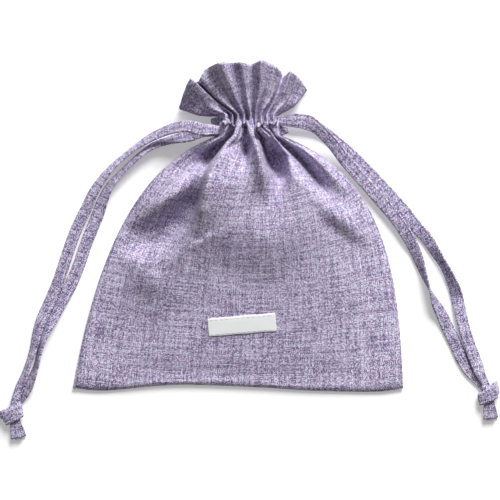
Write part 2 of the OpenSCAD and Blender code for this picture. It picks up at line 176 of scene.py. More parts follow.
# Label
LABEL_AT = (2.4 * MM, -59.3 * MM)
LABEL_W = 41 * MM
LABEL_H = 11 * MM
LABEL_T = 0.5 * MM
LABEL_TILT = 4.8
LABEL_CROWN = 0.25 * MM
LABEL_WAVE = 0.018
LABEL_WAVES = 420.0
LABEL_POINTS = (42, 12)
LABEL_ENDS = 0.9
LABEL_ROUND = 4
STITCH_L = 2.0 * MM
STITCH_PITCH = 3.2 * MM
STITCH_ROW = 0.78 * LABEL_H / 2
STITCH_END = 0.94 * LABEL_W / 2
STITCH_POINTS = 9
STITCH_RISE = 0.42
STITCH_SINK = 0.2
STITCH_TIP = 0.06
THREAD_D = 0.4 * MM


# Curves as arrays of points, one point in each row
def eased(low, high, value):
    """0 below low, 1 above high, and a smooth step between."""
    share = np.clip((value - low) / (high - low), 0.0, 1.0)
    return share * share * (3.0 - 2.0 * share)


def lengths(points):
    """Length along the points up to each of them."""
    steps = np.linalg.norm(np.diff(points, axis=0), axis=1)
    return np.concatenate([[0.0], np.cumsum(steps)])


def even(points, count, along=3):
    """The same line with count points at even steps, measured on its first columns."""
    at = lengths(points[:, :along])
    wanted = np.linspace(0.0, at[-1], count)
    return np.stack([np.interp(wanted, at, column) for column in points.T], axis=1)


def spline(points, steps=40):
    """A smooth curve through all the points."""
    points = np.array(points, float)
    points = np.vstack([2 * points[0] - points[1], points, 2 * points[-1] - points[-2]])
    share = np.linspace(0.0, 1.0, steps, endpoint=False)[:, None]
    runs = []
    for first in range(len(points) - 3):
        a, b, c, d = points[first:first + 4]
        square = 2 * a - 5 * b + 4 * c - d
        cube = 3 * b - a - 3 * c + d
        runs.append(0.5 * (2 * b + (c - a) * share + square * share ** 2 + cube * share ** 3))
    return np.vstack(runs + [points[-2:-1]])


def bezier(corners, count=200):
    """A curve from the first corner to the last, drawn towards the two between."""
    a, b, c, d = np.array(corners, float)
    share = np.linspace(0.0, 1.0, count)[:, None]
    rest = 1.0 - share
    return rest ** 3 * a + 3 * share * rest ** 2 * b + 3 * share ** 2 * rest * c + share ** 3 * d


def unit(vectors):
    """The same directions, one long."""
    return vectors / np.linalg.norm(vectors, axis=-1, keepdims=True)


def headings(line, closed=False):
    """Direction of travel at each point."""
    if closed:
        return unit(np.roll(line, -1, axis=0) - np.roll(line, 1, axis=0))
    return unit(np.gradient(line, axis=0))


# Meshes
def linked(name, data):
    """A new object in the scene."""
    piece = bpy.data.objects.new(name, data)
    bpy.context.scene.collection.objects.link(piece)
    return piece


def mesh_piece(name, material, points, faces, flat=None):
    """An object from points and faces; flat is each point's place on the flat cloth."""
    mesh = bpy.data.meshes.new(name)
    mesh.from_pydata(np.asarray(points).tolist(), [], faces)
    mesh.polygons.foreach_set("use_smooth", [True] * len(mesh.polygons))
    if flat is not None:
        layer = mesh.uv_layers.new(name="flat")
        corner = np.empty(len(mesh.loops), int)
        mesh.loops.foreach_get("vertex_index", corner)
        layer.data.foreach_set("uv", np.asarray(flat, np.float32)[corner].ravel())
    if material is not None:
        mesh.materials.append(material)
    mesh.update()
    return linked(name, mesh)


def fit(piece, body, slot, *nodes):
    """A piece that rides on a body in place of the nodes that it stands for."""
    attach(piece, body)
    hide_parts(*nodes)


def grid_faces(rows, columns, closed_rows=False, closed_columns=False):
    """Four-sided faces of a grid whose points are numbered row by row."""
    faces = []
    for row in range(rows if closed_rows else rows - 1):
        for column in range(columns if closed_columns else columns - 1):
            next_row = (row + 1) % rows
            next_column = (column + 1) % columns
            faces.append((row * columns + column, row * columns + next_column,
                          next_row * columns + next_column, next_row * columns + column))
    return faces


def capped_faces(rows, columns):
    """Faces of a grid that closes round its columns, with a face over each end."""
    faces = grid_faces(rows, columns, closed_columns=True)
    faces.append(tuple(range(columns))[::-1])
    faces.append(tuple((rows - 1) * columns + corner for corner in range(columns)))
    return faces


def square(half, z):
    """Corners of a level square about the origin."""
    return [(-half, -half, z), (half, -half, z), (half, half, z), (-half, half, z)]


def merged(parts):
    """Several (points, faces, flat) as one."""
    points, faces, flat = [], [], []
    for part_points, part_faces, part_flat in parts:
        first = sum(len(block) for block in points)
        points.append(np.asarray(part_points))
        flat.append(np.asarray(part_flat))
        faces += [tuple(first + corner for corner in face) for face in part_faces]
    return np.vstack(points), faces, np.vstack(flat)


# A folded tape's section: places across it from edge to edge, and the height there.
# A groove near one edge is where the folded cloth is closed.
TAPE_TOP = ((1.0, 0.0), (0.95, 0.62), (0.84, 0.95), (0.70, 0.98), (0.60, 0.62), (0.50, 0.92),
            (0.25, 1.0), (-0.1, 1.0), (-0.45, 1.0), (-0.80, 0.95), (-0.95, 0.62), (-1.0, 0.0))
TAPE_SECTION = TAPE_TOP + tuple((across, -abs(up)) for across, up in TAPE_TOP[-2:0:-1])


def ribbon(line, sides, widths, thick, closed=False):
    """A tape along a line, as (points, faces, flat)."""
    section = np.array(TAPE_SECTION)
    rows, columns = len(line), len(section)
    ahead = headings(line, closed)
    sides = unit(sides - np.sum(sides * ahead, axis=1, keepdims=True) * ahead)
    ups = np.cross(ahead, sides)
    across = section[:, 0] * np.broadcast_to(widths, rows)[:, None] / 2
    height = section[:, 1] * np.broadcast_to(thick, rows)[:, None] / 2
    points = line[:, None, :] + across[..., None] * sides[:, None, :]
    points = points + height[..., None] * ups[:, None, :]
    along = np.repeat(lengths(line)[:, None], columns, axis=1)
    faces = grid_faces(rows, columns, True, True) if closed else capped_faces(rows, columns)
    return points.reshape(-1, 3), faces, np.stack([across, along], axis=-1).reshape(-1, 2)


def tube(line, radius, count=8):
    """A round thread along a line, as (points, faces, flat)."""
    ahead = headings(line)
    side = unit(np.cross(UP, ahead))
    up = np.cross(ahead, side)
    angle = np.linspace(0.0, 2 * math.pi, count, endpoint=False)
    ring = np.cos(angle)[None, :, None] * side[:, None, :] + np.sin(angle)[None, :, None] * up[:, None, :]
    points = line[:, None, :] + ring * np.broadcast_to(radius, len(line))[:, None, None]
    around = np.repeat(angle[None, :] * THREAD_D / 2, len(line), axis=0)
    along = np.repeat(lengths(line)[:, None], count, axis=1)
    flat = np.stack([around, along], axis=-1)
    return points.reshape(-1, 3), capped_faces(len(line), count), flat.reshape(-1, 2)


# Camera, light and floor
KEY_AT = (0.55, 1.6, 1.25)
KEY_SIZE = 1.0
KEY_POWER = 65.0
SKY = 0.15
FLOOR_HALF = 2.0
FLOOR_Z = -0.2 * MM
FLOOR_COLOUR = (0.9, 0.9, 0.9, 1.0)
FLOOR_GLOW = 0.3


def make_camera():
    """The photograph's view from straight above."""
    data = bpy.data.cameras.new("camera")
    data.lens = data.sensor_width * (CAMERA_HEIGHT - FOCUS_HEIGHT) / (IMAGE * PIXEL)
    camera = linked("camera", data)
    camera.location = (*VIEW_CENTRE, CAMERA_HEIGHT)
    bpy.context.scene.camera = camera


def make_light():
    """One large soft lamp from behind the neck, and an even white sky."""
    data = bpy.data.lights.new("key", "AREA")
    data.energy = KEY_POWER
    data.size = KEY_SIZE
    key = linked("key", data)
    key.location = KEY_AT
    x, y, z = KEY_AT
    key.rotation_euler = (math.atan2(math.hypot(x, y), z), 0.0, math.atan2(x, -y))
    world = bpy.data.worlds.new("sky")
    bpy.context.scene.world = world
    graph = Graph(world, "Background")
    graph.give("Color", WHITE)
    graph.give("Strength", graph.spread(graph.seen_directly(), 0.0, 1.0, SKY, 1.0))


def make_floor():
    """A plain pale floor that keeps the shadow and reads as white."""
    graph = Graph(bpy.data.materials.new("floor"))
    graph.give("Base Color", FLOOR_COLOUR)
    graph.give("Roughness", 1.0)
    graph.give("Specular IOR Level", 0.0)
    graph.give("Emission Color", WHITE)
    graph.give("Emission Strength", graph.math("MULTIPLY", graph.seen_directly(), FLOOR_GLOW))
    mesh_piece("floor", graph.holder, square(FLOOR_HALF, FLOOR_Z), [(0, 1, 2, 3)])


# Materials
class Graph:
    """The nodes of a material or the sky, with short ways to add and join them."""

    def __init__(self, holder, main="Principled BSDF"):
        holder.use_nodes = True
        self.holder = holder
        self.tree = holder.node_tree
        self.main = self.tree.nodes[main]

    def put(self, socket, value):
        if isinstance(value, bpy.types.NodeSocket):
            self.tree.links.new(value, socket)
        else:
            socket.default_value = value

    def add(self, kind, values):
        """A new node, with values for its sockets by their names or numbers."""
        node = self.tree.nodes.new(kind)
        for socket, value in values.items():
            self.put(node.inputs[socket], value)
        return node

    def give(self, name, value):
        """A value for one of the main node's own sockets."""
        self.put(self.main.inputs[name], value)

    def math(self, operation, first, second=0.0, third=0.0):
        node = self.add("ShaderNodeMath", {0: first, 1: second, 2: third})
        node.operation = operation
        return node.outputs[0]

    def flat(self):
        """The place on the flat cloth: across and along, in metres."""
        source = self.tree.nodes.new("ShaderNodeUVMap")
        source.uv_map = "flat"
        split = self.add("ShaderNodeSeparateXYZ", {0: source.outputs["UV"]})
        return split.outputs[0], split.outputs[1]

    def place(self, x, y, z=0.0):
        return self.add("ShaderNodeCombineXYZ", {0: x, 1: y, 2: z}).outputs[0]

    def noise(self, place, scale=1.0, detail=0.0):
        values = {"Vector": place, "Scale": scale, "Detail": detail}
        return self.add("ShaderNodeTexNoise", values).outputs["Fac"]

    def spread(self, value, low, high, to_low=0.0, to_high=1.0):
        values = {"Value": value, "From Min": low, "From Max": high, "To Min": to_low, "To Max": to_high}
        return self.add("ShaderNodeMapRange", values).outputs["Result"]

    def choose(self, share, first, second):
        """first where share is 0 and second where it is 1."""
        return self.math("MULTIPLY_ADD", self.math("SUBTRACT", second, first), share, first)

    def ramp(self, value, stops):
        node = self.tree.nodes.new("ShaderNodeValToRGB")
        elements = node.color_ramp.elements
        while len(elements) < len(stops):
            elements.new(0.5)
        for element, (at, colour) in zip(elements, stops):
            element.position = at
            element.color = (*colour, 1.0)
        self.put(node.inputs["Fac"], value)
        return node.outputs["Color"]

    def mix(self, share, first, second):
        """The first colour where share is 0 and the second where it is 1."""
        node = self.tree.nodes.new("ShaderNodeMix")
        node.data_type = "RGBA"
        self.put(node.inputs[0], share)
        self.put(node.inputs[6], first)
        self.put(node.inputs[7], second)
        return node.outputs[2]

    def bump(self, height, strength, distance):
        values = {"Height": height, "Strength": strength, "Distance": distance}
        self.give("Normal", self.add("ShaderNodeBump", values).outputs["Normal"])

    def wave(self, value, length):
        """A sine with that wave length."""
        return self.math("SINE", self.math("MULTIPLY", value, 2 * math.pi / length))

    def seen_directly(self):
        """1 for what the camera sees, straight or by a mirror or glass, and 0 for other light."""
        path = self.tree.nodes.new("ShaderNodeLightPath")
        bounced = self.math("MAXIMUM", path.outputs["Is Glossy Ray"], path.outputs["Is Transmission Ray"])
        return self.math("MAXIMUM", path.outputs["Is Camera Ray"], bounced)


CLOTH_TONES = ((0.0, (0.110, 0.074, 0.179)), (0.30, (0.289, 0.237, 0.397)),
               (0.60, (0.523, 0.462, 0.640)), (1.0, (0.868, 0.824, 0.970)))
TAPE_TONES = ((0.0, (0.098, 0.067, 0.168)), (0.30, (0.250, 0.202, 0.357)),
              (0.60, (0.465, 0.408, 0.581)), (1.0, (0.804, 0.768, 0.898)))
# The weave: a yarn's width, lengths of its long and short tones in yarn widths, share of the long
# ones, and steps in the noise from one yarn to the next
YARN = 0.62 * MM
LONG_RUN = 40.0
SHORT_RUN = 1.2
LONG_SHARE = 0.38
OWN_STEP = 3.71
NEAR_STEP = 1.9
WARP_SEED = 17.3
WEFT_SEED = 71.9
CONTRAST = 0.21
# Paler and darker patches, and drifts between a warm and a cool tint
PATCH = 22 * MM
PATCH_SHARE = 0.08
HUE_RUN = (9.0, 5.0)
HUE_SPREAD = (0.38, 0.62)
WARM = (1.035, 0.97, 1.0)
COOL = (0.965, 1.0, 1.01)
# Bump strength and height, and how much a yarn's tone adds to the height
WEAVE_BUMP = (0.35, 0.10 * MM)
TONE_BUMP = 0.35
LABEL_BUMP = (0.25, 0.05 * MM)
THREAD_BUMP = (0.4, 0.04 * MM)
# The label's ribs and cross threads, its fading, and the sewing thread's twist, with painted shade in the
# twist's grooves
RIB = 0.45 * MM
CROSS_THREAD = 0.3 * MM
CROSS_SHARE = 0.4
FADE_SCALE = 250.0
LABEL_TONES = ((0.3, (0.96, 0.965, 0.97)), (0.7, (0.985, 0.99, 0.995)))
TWIST = 0.5 * MM
# The thread's colour from the twist's grooves to its ridges: painted shade in the grooves
THREAD_GROOVE_SHADE = ((0.0, (0.74, 0.73, 0.76)), (1.0, (0.86, 0.855, 0.875)))


def woven(name, tones):
    """Plain weave of mixed yarns, each paler and darker along its length."""
    graph = Graph(bpy.data.materials.new(name))
    across, along = graph.flat()
    warp = graph.math("DIVIDE", across, YARN)
    weft = graph.math("DIVIDE", along, YARN)
    warp_number = graph.math("FLOOR", warp)
    weft_number = graph.math("FLOOR", weft)

    def yarn_tone(number, run, seed):
        own = graph.math("MULTIPLY_ADD", number, OWN_STEP, seed)
        near = graph.math("MULTIPLY_ADD", number, NEAR_STEP, seed * 2)
        short = graph.noise(graph.place(own, graph.math("DIVIDE", run, SHORT_RUN)))
        long = graph.noise(graph.place(near, graph.math("DIVIDE", run, LONG_RUN)))
        both = graph.choose(LONG_SHARE, short, long)
        return graph.spread(both, 0.5 - CONTRAST / 2, 0.5 + CONTRAST / 2)

    warp_tone = yarn_tone(warp_number, weft, WARP_SEED)
    weft_tone = yarn_tone(weft_number, warp, WEFT_SEED)
    over = graph.math("MODULO", graph.math("ADD", warp_number, weft_number), 2.0)
    over = graph.math("ABSOLUTE", over)
    tone = graph.choose(over, warp_tone, weft_tone)
    patches = graph.noise(graph.place(across, along), 1.0 / PATCH)
    tone = graph.math("MULTIPLY_ADD", graph.math("SUBTRACT", patches, 0.5), PATCH_SHARE, tone)
    drift = [graph.math("DIVIDE", yarns, run) for yarns, run in zip((warp, weft), HUE_RUN)]
    hue = graph.spread(graph.noise(graph.place(*drift), 1.0, 3.0), *HUE_SPREAD)
    shades = []
    for tint in (COOL, WARM):
        stops = [(at, tuple(np.multiply(colour, tint).tolist())) for at, colour in tones]
        shades.append(graph.ramp(tone, stops))
    graph.give("Base Color", graph.mix(hue, *shades))
    rounds = [graph.math("ABSOLUTE", graph.wave(yarns, 2.0)) for yarns in (warp, weft)]
    height = graph.math("MULTIPLY_ADD", tone, TONE_BUMP, graph.choose(over, *rounds))
    graph.bump(height, *WEAVE_BUMP)
    graph.give("Roughness", graph.spread(tone, 0.0, 1.0, 0.95, 0.75))
    graph.give("Specular IOR Level", 0.2)
    graph.give("Sheen Weight", 0.08)
    graph.give("Sheen Roughness", 0.5)
    return graph.holder


def ribbed_tape(name):
    """White label tape with fine crosswise ribs."""
    graph = Graph(bpy.data.materials.new(name))
    across, along = graph.flat()
    threads = graph.wave(across, CROSS_THREAD)
    fade = graph.noise(graph.place(across, along), FADE_SCALE, 2.0)
    graph.give("Base Color", graph.ramp(fade, LABEL_TONES))
    graph.give("Roughness", graph.spread(fade, 0.3, 0.7, 0.7, 0.55))
    graph.bump(graph.math("MULTIPLY_ADD", threads, CROSS_SHARE, graph.wave(along, RIB)), *LABEL_BUMP)
    return graph.holder


def twisted_thread(name):
    """Pale sewing thread with its twist, its colour painted darker in the twist's grooves as shade."""
    graph = Graph(bpy.data.materials.new(name))
    across, along = graph.flat()
    twist = graph.wave(graph.math("MULTIPLY_ADD", across, 2.0, along), TWIST)
    graph.give("Base Color", graph.ramp(twist, THREAD_GROOVE_SHADE))
    graph.give("Roughness", graph.spread(twist, -1.0, 1.0, 0.65, 0.5))
    graph.bump(twist, *THREAD_BUMP)
    return graph.holder


# Drawstrings
# Each tape inside the casing's end: millimetres in from its exit, and height as a share
INSIDE = ((14.5, 0.8), (9.5, 0.84), (4.5, 0.94))


def half_height(roll):
    """Half the height of a tape turned by roll about its length."""
    return CORD_W / 2 * np.abs(np.sin(roll)) + CORD_T / 2 * np.abs(np.cos(roll))


def cord_line(route, exit_at, exit_z, inward, knot):
    """Points, width directions, widths and thicknesses of one free tape, from casing to knot."""
    inside = [(inward * step, 0, drop, 0) for step, drop in INSIDE]
    fall = exit_z - CLEAR - CORD_T / 2
    end = (knot[0], knot[1] + KNOT_ENTRY, (KNOT_Z - CLEAR - CORD_T / 2) / fall, route[-1][3])
    rows = spline([*inside, *route, end], ROUTE_STEPS)
    rows = even(rows, int(lengths(rows[:, :2])[-1] * MM / CORD_STEP), along=2)
    roll = np.radians(rows[:, 3])
    z = CLEAR + half_height(roll) + np.clip(rows[:, 2], 0.0, 1.0) * fall
    line = np.stack([exit_at[0] + rows[:, 0] * MM, exit_at[1] + rows[:, 1] * MM, z], axis=1)
    ahead = headings(line)
    level = unit(np.cross(UP, ahead))
    sides = level * np.cos(roll)[:, None] + np.cross(ahead, level) * np.sin(roll)[:, None]
    outside = eased(-WIDEN_OVER, 0.0, -inward * rows[:, 0])
    to_knot = np.hypot(rows[:, 0] - knot[0], rows[:, 1] - knot[1])
    pinch = KNOT_PINCH + (1.0 - KNOT_PINCH) * eased(*PINCH_OVER, to_knot)
    widths = (GATHERED_W + (CORD_W - GATHERED_W) * outside) * pinch
    return line, sides, widths, CORD_T * (1.0 + GATHERED_SWELL * (1.0 - outside))


def knot_band(half_w, shift, along, slant, half_h, width):
    """One turn of tape round the knot, in the knot's own axes, as (points, faces, flat)."""
    angle = np.linspace(0.0, 2 * math.pi, BAND_STEPS, endpoint=False)
    across = shift + half_w * np.cos(angle)
    onward = along + math.tan(math.radians(slant)) * across
    line = np.stack([across, onward, half_h * np.sin(angle)], axis=1)
    outward = np.stack([half_h * np.cos(angle), np.zeros(BAND_STEPS), half_w * np.sin(angle)], axis=1)
    sides = np.cross(unit(outward), headings(line, closed=True))
    return ribbon(line, sides, width, KNOT_T, closed=True)


def knot_piece(name, parts, at, turn, material):
    """Parts in a knot's own axes as one piece at its place on the table."""
    points, faces, flat = merged(parts)
    angle = math.radians(turn)
    spin = np.array([[math.cos(angle), math.sin(angle), 0.0],
                     [-math.sin(angle), math.cos(angle), 0.0],
                     [0.0, 0.0, 1.0]])
    return mesh_piece(name, material, points @ spin + np.array([*at, KNOT_Z]), faces, flat)


def make_knot(name, at, turn, lobe, material):
    """An overhand knot drawn up tight; its loop stands out on the lobe's side."""
    bands = []
    for half_w, shift, along, slant, lobe_slant, half_h, width in KNOT_BANDS:
        bands.append(knot_band(half_w * MM, shift * lobe * MM, along * MM, slant + lobe_slant * lobe,
                               half_h * MM, width * MM))
    return knot_piece(name, bands, at, turn, material)


def fray(cut, ahead, side, generator):
    """Loose yarns at a cut end."""
    share = np.linspace(FRAY_ROOT, 1.0, FRAY_STEPS)[:, None]
    parts = []
    for across in np.linspace(-FRAY_ACROSS, FRAY_ACROSS, FRAY_COUNT):
        lean = generator.uniform(-FRAY_LEAN, FRAY_LEAN)
        reach = generator.uniform(*FRAY_REACH)
        lift = generator.uniform(-FRAY_LIFT, FRAY_LIFT)
        start = cut + side * across * CORD_W + np.array([0.0, 0.0, lift])
        parts.append(tube(start + (ahead + side * lean * share) * reach * share, FRAY_D / 2, FRAY_SIDES))
    return parts


def make_tails(name, at, turn, material):
    """The two cut ends that come out of a knot, one over the other, with frayed edges."""
    generator = np.random.default_rng(len(name))
    share = np.linspace(0.0, 1.0, TAIL_STEPS)
    widths = CORD_W * (TAIL_NARROW + (1.0 - TAIL_NARROW) * eased(*TAIL_WIDEN, share))
    parts = []
    for spread, top in TAILS:
        angle = math.radians(spread)
        ahead = np.array([math.sin(angle), -math.cos(angle), 0.0])
        side = np.array([math.cos(angle), math.sin(angle), 0.0])
        line = (TAIL_ROOT + share * (TAIL_START + TAIL_L - TAIL_ROOT))[:, None] * ahead
        line[:, 2] = (top - KNOT_Z) * eased(*TAIL_FALL, share)
        parts.append(ribbon(line, side, widths, CORD_T))
        parts += fray(line[-1], ahead, side, generator)
    return knot_piece(name, parts, at, turn, material)


def make_turn_round(name, end_x, outward, lane, material):
    """A drawstring turning from the front casing into the back one, outside the slit."""
    stations = [(step * MM, fall * MM) for step, fall in LOOP_LINE]
    stations.append((LOOP_REACH, (LOOP_TOP - BACK_Z) / 2))
    upper = [(end_x + outward * step, lane, LOOP_TOP - fall) for step, fall in stations]
    lower = [(x, y, LOOP_TOP + BACK_Z - z) for x, y, z in upper[-2::-1]]
    line = even(spline(upper + lower, LOOP_STEPS), LOOP_POINTS)
    share = lengths(line) / lengths(line)[-1]
    widths = GATHERED_W + (LOOP_W - GATHERED_W) * np.sin(math.pi * share)
    widths = widths * (1.0 - LOOP_PINCH * np.exp(-((share - 0.5) / LOOP_PINCH_OVER) ** 2))
    return mesh_piece(name, material, *ribbon(line, np.array([0.0, outward, 0.0]), widths, LOOP_T))


# What differs between the two drawstrings; inward is the way from the exit into the casing
DRAWSTRINGS = (
    ("left", LEFT_EXIT, 1.0, (LEFT_FRONT_ROUTE, LEFT_BACK_ROUTE), LEFT_KNOT, LEFT_KNOT_TURN,
     LEFT_LOBE, NECK_RIGHT, LEFT_LANE),
    ("right", RIGHT_EXIT, -1.0, (RIGHT_FRONT_ROUTE, RIGHT_BACK_ROUTE), RIGHT_KNOT, RIGHT_KNOT_TURN,
     RIGHT_LOBE, NECK_LEFT, RIGHT_LANE))


def make_drawstrings(material):
    """Both drawstrings: their free tapes, knots, cut ends and turn-rounds."""
    for name, exit_at, inward, routes, knot_from_exit, turn, lobe, loop_x, lane in DRAWSTRINGS:
        run_body = name + "_drawstring"
        ends_body = name + "_cord_ends"
        at = (exit_at[0] + knot_from_exit[0] * MM, exit_at[1] + knot_from_exit[1] * MM)
        knot = make_knot(name + "_knot_band", at, turn, lobe, material)
        tails = make_tails(name + "_cut_ends", at, turn, material)
        loop = make_turn_round(name + "_turn_round", loop_x, inward, lane, material)
        fit(knot, ends_body, "drawstring", name + "_knot")
        fit(tails, ends_body, "drawstring", name + "_cord_tails")
        fit(loop, run_body, "drawstring", run_body + "_run")
        for layer, route, exit_z in zip(("front", "back"), routes, (FRONT_Z, BACK_Z)):
            line, sides, widths, thick = cord_line(route, exit_at, exit_z, inward, knot_from_exit)
            tape = mesh_piece(f"{name}_{layer}_tape", material, *ribbon(line, sides, widths, thick))
            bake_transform(tape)
            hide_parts(f"{name}_{layer}_cord")
            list(exit_at)
            round(float(lengths(line)[-1]), 3)


# Cloth, simulated ten times its size, with a grid of COLUMNS by ROWS cells in each panel
SIM = 10.0
COARSE = 1
COLUMNS = 67 // COARSE
BODY_ROWS = 46 // COARSE
CASING_ROWS = 4 // COARSE
FRILL_ROWS = 10 // COARSE
LOOSE_ROWS = 2 // COARSE
ROWS = BODY_ROWS + CASING_ROWS + FRILL_ROWS
GATHER_FRAMES = 36
LAST_FRAME = 50
# The simulation's settings: soft linen with a little pressure inside, on a table and a filling
CLOTH_SETTINGS = {
    "quality": 6, "mass": 0.3, "air_damping": 3.0, "tension_stiffness": 40.0,
    "compression_stiffness": 40.0, "shear_stiffness": 8.0, "bending_stiffness": 20.0,
    "tension_damping": 10.0, "compression_damping": 10.0, "shear_damping": 10.0,
    "bending_damping": 1.0, "vertex_group_mass": "held", "pin_stiffness": 40.0,
    "use_pressure": True, "vertex_group_pressure": "filled", "uniform_pressure_force": 2.0}
CONTACT_SETTINGS = {
    "distance_min": 0.01, "collision_quality": 3, "friction": 10.0,
    "use_self_collision": True, "self_distance_min": 0.01, "self_friction": 5.0}
GRAVITY = 2.0
CONTACT_GAP = 0.01
TABLE_HALF = 0.6
TABLE_Z = -0.5 * MM
TABLE_FRICTION = 8.0
FILLING_FRICTION = 5.0
# Lengths of the panels' cuts along their middles, heights of the drawn-up casings, how firmly the
# frill is held in the simulation and set after it, and how its root spreads and droops to the ends
FRONT_MIDDLE = 157 * MM
BACK_MIDDLE = 152 * MM
CASING_FRONT_Z = 18.5 * MM
CASING_BACK_Z = 5.6 * MM
FRILL_GOAL = 0.9
FRILL_SET = 0.94
ROOT_OUT = 3.0 * MM
ROOT_DROOP = 3.5 * MM
ROOT_POWER = 5
ROOT_FADE = 0.55
FRILL_BASE = 0.6 * MM
# Heights of the panels as they are laid out
START_Z = 3 * MM
START_CROWN = 9 * MM
START_SAG = 1.5 * MM
FRONT_START = 12 * MM
BACK_START = 1.5 * MM
# Less than the step from any row to the next
EDGE = 0.1 * MM

# Plan of the side seams and the bottom edge as they lie, in millimetres
LEFT_SEAM = ((-100, -98), (-88, -30), (-67, 36), (-12, 54))
RIGHT_SEAM = ((100, -98), (97, -34), (93, 30), (26, 54))
BOTTOM_EDGE = ((-100, -98), (-80, -99.3), (-45, -96.2), (-20, -96), (17, -97.6), (45, -99.4),
               (83, -100), (100, -98))
# Share of the drawn-up casing that each pleat takes, and how high it stands
PLEATS = (1.35, 0.85, 1.0, 1.2, 0.95, 0.8, 1.15, 0.9, 1.3)
PLEAT_RISE = (1.15, 0.85, 1.0, 0.75, 1.2, 0.9, 1.1, 0.8, 1.15)
PLEATS_LEFT = -9.5 * MM
PLEATS_W = 33 * MM
DEEPEST_PLEAT = 60 * MM
PLEAT_ROUNDS = 40
# Plan of the frill's top edge, and the heights of its ridges and valleys along it
FRILL_TOP = ((-35.4, 71.2), (-32.5, 79.3), (-28, 87.7), (-23.6, 86.2), (-19, 92.8), (-9, 96.3),
             (0.5, 96.4), (8, 95.9), (15, 97.4), (22.2, 95), (27.4, 90.4), (31, 91.9),
             (36.8, 88.2), (41.7, 82.5))
FRONT_WAVES = ((0, 12), (0.183, 27), (0.215, 14), (0.25, 27), (0.32, 27.5), (0.41, 37),
               (0.475, 29), (0.535, 34), (0.595, 28), (0.647, 37), (0.72, 28), (0.785, 28),
               (0.81, 12), (0.857, 26), (1, 9))
BACK_WAVES = tuple((step / 14, 1.5 if step % 2 == 0 else 8.5) for step in range(15))
FRONT_SOFT = 0.5
BACK_SOFT = 1.0
FRILL_POINTS = 2000
# Width of each panel's cut at shares of its side seam, in millimetres, the casing's at the end
WAIST_AT = (0, 0.12, 0.25, 0.4, 0.5, 0.6, 0.7, 0.8, 0.9, 1)
FRONT_W = (201, 197, 192, 187, 180, 172, 167, 166, 158, 130)
BACK_W = (201, 197, 190, 181, 173, 162, 149, 134, 118, 108)
FRILL_TOP_W = 204 * MM
# The front's main folds from left to right: places across at each of FOLD_Y, and heights
# there, in millimetres. A ridge and a valley take turns, from shoulder to shoulder.
FOLD_Y = (54, 46, 37, 29, 20, 10, 0, -12)
FOLDS = (
    ((-9.5, -24, -38, -45.5, -50.5, -54, -57, -60), (20, 18.5, 16.5, 14.5, 13, 12, 11, 10)),
    ((-5.5, -13.5, -19.5, -23.5, -27, -30, -33, -38), (9, 6.5, 4, 3, 3, 4.5, 7.5, 10)),
    ((-1.3, -9.6, -13.8, -16.8, -19.5, -21.8, -25.2, -32.5), (24, 25, 25, 24.5, 23.5, 21.5, 18.5, 14.5)),
    ((3.5, 2.5, 2, 2, 2, 2, 1, 0), (14, 15, 17.5, 20.5, 23, 24, 22.5, 19)),
    ((8.5, 11.5, 14.5, 16.5, 17.5, 18, 18, 18), (25, 26.5, 27, 26.5, 25.5, 24.5, 22.5, 19)),
    ((14, 17.5, 20.5, 22.5, 24, 25.5, 26.5, 27), (7, 4, 3.5, 7, 15, 21, 22, 19)),
    ((19.5, 28, 38, 45, 51.4, 59, 67, 72), (24, 24, 22.5, 21, 19, 16.5, 13.5, 11)),
    ((22, 33, 44.5, 52, 58.5, 66, 73, 78), (12, 9, 7, 6.5, 6.5, 7, 7.5, 8)),
    ((24, 38.5, 51, 60, 67, 74, 80, 84), (18, 15.5, 14, 12.5, 11.5, 10.5, 9.5, 8)))
FOLD_HOLD = 0.85
FOLD_ROUNDS = 6
FOLD_POINTS = 40
FOLD_FADE = (-12 * MM, 25 * MM)
# Height of the filling that holds the front up, as shares of FILLING_H along the body, and the
# part of the pouch's width that it takes
FILLING_H = 18 * MM
FILLING_AT = (0, 0.06, 0.2, 0.4, 0.55, 0.7, 0.85, 1)
FILLING = (0.02, 0.22, 0.52, 0.8, 0.7, 0.35, 0.2, 0.15)
FILLING_Z = 0.5 * MM
FILLING_HALF = 0.47
FILLING_ROUND = 2.4
FILLING_POINTS = 41
FILLING_FLAT = 0.05
FILLING_FRAMES = 31
# Share of the pressure inside low on the body, and where along the seams it rises to all of it
FILL_LOW = 0.6
FILL_RISE = (0.3, 0.6)
# Height of the evened front above its seams along the middle, by share of the body's length, and
# where the evening and the creases fade out towards the seams, the bottom and the neck
PILLOW_AT = (0, 0.12, 0.25, 0.35, 0.5, 0.6, 0.7, 0.8, 0.9, 1)
PILLOW = (0, 3.5, 6.2, 8.6, 12.4, 14.4, 15.8, 16.8, 17.2, 17)
PILLOW_ROUND = 2.6
PILLOW_HOLD = 0.97
PILLOW_FADE = (0.78, 0.97)
SEAM_FADE = (0.92, 1.0)
BOTTOM_FADE = (0.0, 0.06)
CREASE_FADE = (0.93, 1.0)
CREASE_SHARP = 1.6
CREASE_POINTS = 80
